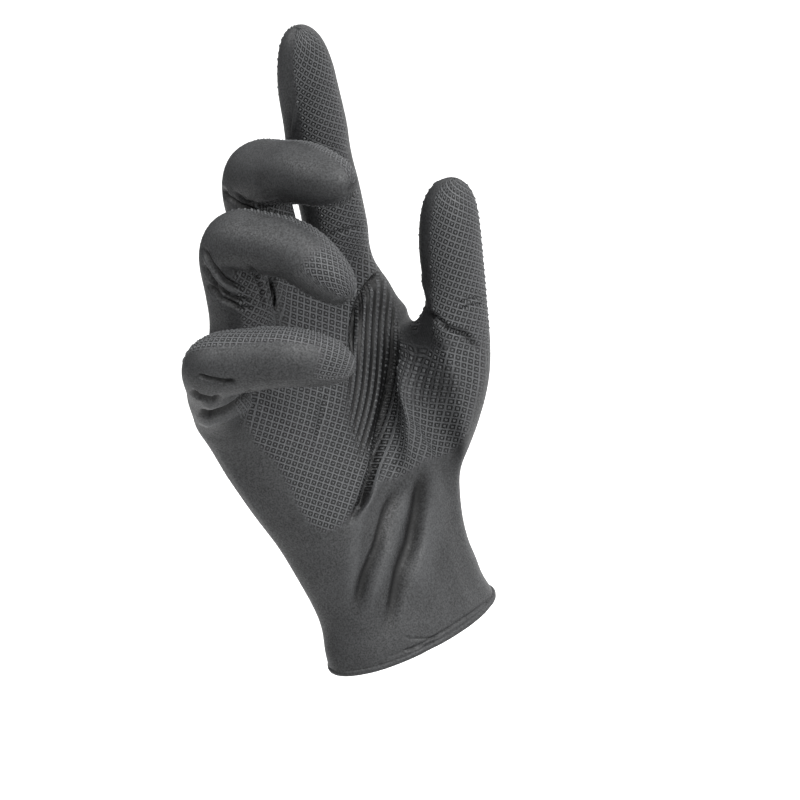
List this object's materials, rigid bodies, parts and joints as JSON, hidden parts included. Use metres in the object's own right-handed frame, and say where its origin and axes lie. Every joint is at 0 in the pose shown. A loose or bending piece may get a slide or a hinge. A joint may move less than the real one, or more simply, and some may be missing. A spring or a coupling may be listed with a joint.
{
  "type": "nitrile exam glove",
  "caption": "Black disposable nitrile glove in its worn form, hollow, with the index finger pointing, the other fingers curled, a raised grip and a beaded cuff.",
  "frame": {"origin": "middle of the wrist opening, in the plane of the bead's end", "axes": "+Z along the forearm from the cuff to the fingers, -Y to the viewer of the picture, +X to the thumb's side"},
  "size_m": [0.1149, 0.1019, 0.2072],
  "materials": {
    "black_nitrile": "matte, slightly sheened where it is stretched"
  },
  "bodies": {
    "root": {"glove_film": "black_nitrile"}
  },
  "joints": []
}
